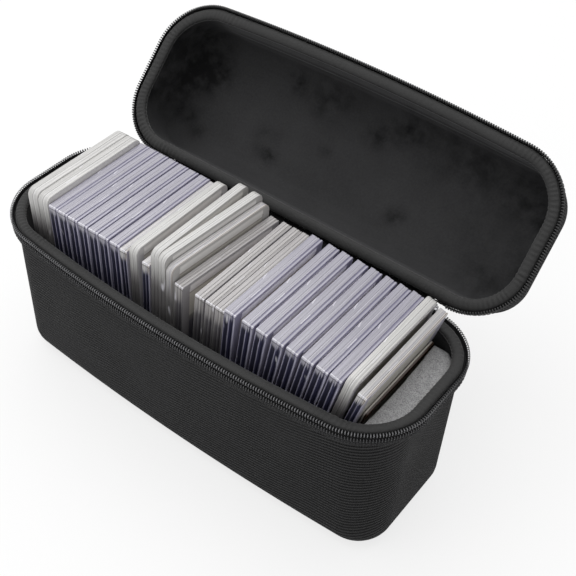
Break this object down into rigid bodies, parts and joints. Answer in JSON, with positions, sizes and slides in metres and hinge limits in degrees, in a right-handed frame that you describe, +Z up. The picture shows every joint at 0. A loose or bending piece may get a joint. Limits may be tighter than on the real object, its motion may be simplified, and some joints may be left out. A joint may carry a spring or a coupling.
{
  "type": "graded card storage case",
  "caption": "Zippered hard case with a soft velvet lining, open, holding a leaning row of upright graded-card slabs and a foam end block.",
  "frame": {"origin": "on the floor under the middle of the base rim", "axes": "+X along the case towards the zip slider and foam block, +Y towards the hinge side, +Z up out of the base"},
  "size_m": [0.3034, 0.2237, 0.1912],
  "materials": {
    "shell_fabric": "fine ribbed polyester over moulded foam",
    "lining_velvet": "black brushed velvet",
    "rim_fabric": "smooth dark grey binding",
    "zip_tape": "woven black tape",
    "zip_teeth": "black nylon coil",
    "slider_metal": "dull grey cast metal",
    "grey_foam": "mottled light grey open-cell foam",
    "slab_white": "milky clear plastic",
    "slab_clear": "clear plastic with a lilac insert",
    "slab_narrow": "clear plastic",
    "slab_frosted": "frosted clear plastic",
    "slab_tall": "clear plastic, grey-white edge",
    "slab_middle": "clear plastic, grey-white edge",
    "slab_grey": "clear plastic with a grey-beige insert",
    "sleeve_film": "thin clear film over a card"
  },
  "bodies": {
    "base": {"base_shell": "shell_fabric", "base_lining": "lining_velvet", "base_rim_band": "rim_fabric", "base_zip_tape": "zip_tape", "base_zip_teeth": "zip_teeth", "hinge_strip_base": "zip_tape", "zip_slider": "slider_metal", "foam_block": "grey_foam"},
    "lid": {"lid_shell": "shell_fabric", "lid_lining": "lining_velvet", "lid_rim_band": "rim_fabric", "lid_zip_tape": "zip_tape", "lid_zip_teeth": "zip_teeth", "hinge_strip_lid": "zip_tape"},
    "pull": {"zip_pull": "slider_metal"},
    "slab_01": {"slab_01_white": "slab_white"},
    "slab_02": {"slab_02_white": "slab_white"},
    "slab_03": {"slab_03_clear": "slab_clear"},
    "slab_04": {"slab_04_clear": "slab_clear"},
    "slab_05": {"slab_05_clear": "slab_clear"},
    "slab_06": {"slab_06_clear": "slab_clear"},
    "slab_07": {"slab_07_clear": "slab_clear"},
    "slab_08": {"slab_08_clear": "slab_clear"},
    "slab_09": {"slab_09_clear": "slab_clear"},
    "slab_10": {"slab_10_narrow": "slab_narrow"},
    "slab_11": {"slab_11_frosted": "slab_frosted"},
    "slab_12": {"slab_12_narrow": "slab_narrow"},
    "slab_13": {"slab_13_tall": "slab_tall"},
    "slab_14": {"slab_14_tall": "slab_tall"},
    "slab_15": {"slab_15_middle": "slab_middle"},
    "slab_16": {"slab_16_grey": "slab_grey"},
    "slab_17": {"slab_17_grey": "slab_grey"},
    "slab_18": {"slab_18_grey": "slab_grey"},
    "slab_19": {"slab_19_grey": "slab_grey"},
    "slab_20": {"slab_20_clear": "slab_clear"},
    "slab_21": {"slab_21_clear": "slab_clear"},
    "slab_22": {"slab_22_clear": "slab_clear"},
    "slab_23": {"slab_23_clear": "slab_clear"},
    "slab_24": {"slab_24_clear": "slab_clear"},
    "slab_25": {"slab_25_clear": "slab_clear"},
    "slab_26": {"slab_26_clear": "slab_clear"},
    "slab_27": {"slab_27_clear": "slab_clear"},
    "slab_28": {"slab_28_frosted": "slab_frosted"},
    "slab_29": {"slab_29_narrow": "slab_narrow"},
    "sleeve": {"card_sleeve": "sleeve_film"}
  },
  "joints": [
    {"name": "lid_hinge", "type": "hinge", "parent": "base", "child": "lid", "pos_m": [0, 0.0558, 0.1125], "axis": [1, 0, 0], "range_deg": [0, 134]},
    {"name": "pull_hinge", "type": "hinge", "parent": "base", "child": "pull", "pos_m": [0.11008, 0.0555, 0.1155], "axis": [1, 0, 0], "range_deg": [0, 45]},
    {"name": "slab_01_lift", "type": "slide", "parent": "base", "child": "slab_01", "axis": [-0.0401, 0, 0.9992], "range_m": [0, 0.017]},
    {"name": "slab_02_lift", "type": "slide", "parent": "base", "child": "slab_02", "axis": [-0.0401, 0, 0.9992], "range_m": [0, 0.017]},
    {"name": "slab_03_lift", "type": "slide", "parent": "base", "child": "slab_03", "axis": [-0.0349, 0, 0.9994], "range_m": [0, 0.02]},
    {"name": "slab_04_lift", "type": "slide", "parent": "base", "child": "slab_04", "axis": [-0.0349, 0, 0.9994], "range_m": [0, 0.02]},
    {"name": "slab_05_lift", "type": "slide", "parent": "base", "child": "slab_05", "axis": [-0.0332, 0, 0.9995], "range_m": [0, 0.02]},
    {"name": "slab_06_lift", "type": "slide", "parent": "base", "child": "slab_06", "axis": [-0.0297, 0, 0.9996], "range_m": [0, 0.02]},
    {"name": "slab_07_lift", "type": "slide", "parent": "base", "child": "slab_07", "axis": [-0.0244, 0, 0.9997], "range_m": [0, 0.02]},
    {"name": "slab_08_lift", "type": "slide", "parent": "base", "child": "slab_08", "axis": [-0.0209, 0, 0.9998], "range_m": [0, 0.02]},
    {"name": "slab_09_lift", "type": "slide", "parent": "base", "child": "slab_09", "axis": [-0.0122, 0, 0.9999], "range_m": [0, 0.02]},
    {"name": "slab_10_lift", "type": "slide", "parent": "base", "child": "slab_10", "axis": [-0.0122, 0, 0.9999], "range_m": [0, 0.018]},
    {"name": "slab_11_lift", "type": "slide", "parent": "base", "child": "slab_11", "axis": [0.0035, 0, 1], "range_m": [0, 0.016]},
    {"name": "slab_12_lift", "type": "slide", "parent": "base", "child": "slab_12", "axis": [0.0314, 0, 0.9995], "range_m": [0, 0.018]},
    {"name": "slab_13_lift", "type": "slide", "parent": "base", "child": "slab_13", "axis": [0.0401, 0, 0.9992], "range_m": [0, 0.009]},
    {"name": "slab_14_lift", "type": "slide", "parent": "base", "child": "slab_14", "axis": [0.04, -0.0028, 0.9992], "range_m": [0, 0.009]},
    {"name": "slab_15_lift", "type": "slide", "parent": "base", "child": "slab_15", "axis": [0.0418, -0.0029, 0.9991], "range_m": [0, 0.014]},
    {"name": "slab_16_lift", "type": "slide", "parent": "base", "child": "slab_16", "axis": [0.0522, -0.0037, 0.9986], "range_m": [0, 0.022]},
    {"name": "slab_17_lift", "type": "slide", "parent": "base", "child": "slab_17", "axis": [0.0715, 0, 0.9974], "range_m": [0, 0.022]},
    {"name": "slab_18_lift", "type": "slide", "parent": "base", "child": "slab_18", "axis": [0.0802, 0, 0.9968], "range_m": [0, 0.022]},
    {"name": "slab_19_lift", "type": "slide", "parent": "base", "child": "slab_19", "axis": [0.0837, 0, 0.9965], "range_m": [0, 0.022]},
    {"name": "slab_20_lift", "type": "slide", "parent": "base", "child": "slab_20", "axis": [0.0837, 0, 0.9965], "range_m": [0, 0.02]},
    {"name": "slab_21_lift", "type": "slide", "parent": "base", "child": "slab_21", "axis": [0.1167, 0, 0.9932], "range_m": [0, 0.02]},
    {"name": "slab_22_lift", "type": "slide", "parent": "base", "child": "slab_22", "axis": [0.1305, 0, 0.9914], "range_m": [0, 0.02]},
    {"name": "slab_23_lift", "type": "slide", "parent": "base", "child": "slab_23", "axis": [0.153, 0, 0.9882], "range_m": [0, 0.02]},
    {"name": "slab_24_lift", "type": "slide", "parent": "base", "child": "slab_24", "axis": [0.1668, 0, 0.986], "range_m": [0, 0.02]},
    {"name": "slab_25_lift", "type": "slide", "parent": "base", "child": "slab_25", "axis": [0.184, 0, 0.9829], "range_m": [0, 0.02]},
    {"name": "slab_26_lift", "type": "slide", "parent": "base", "child": "slab_26", "axis": [0.1959, 0, 0.9806], "range_m": [0, 0.02]},
    {"name": "slab_27_lift", "type": "slide", "parent": "base", "child": "slab_27", "axis": [0.2028, 0, 0.9792], "range_m": [0, 0.02]},
    {"name": "slab_28_lift", "type": "slide", "parent": "base", "child": "slab_28", "axis": [0.213, 0, 0.977], "range_m": [0, 0.016]},
    {"name": "slab_29_lift", "type": "slide", "parent": "base", "child": "slab_29", "axis": [0.2317, 0, 0.9728], "range_m": [0, 0.018]},
    {"name": "sleeve_lift", "type": "slide", "parent": "base", "child": "sleeve", "axis": [0.2317, 0, 0.9728], "range_m": [0, 0.045]}
  ]
}
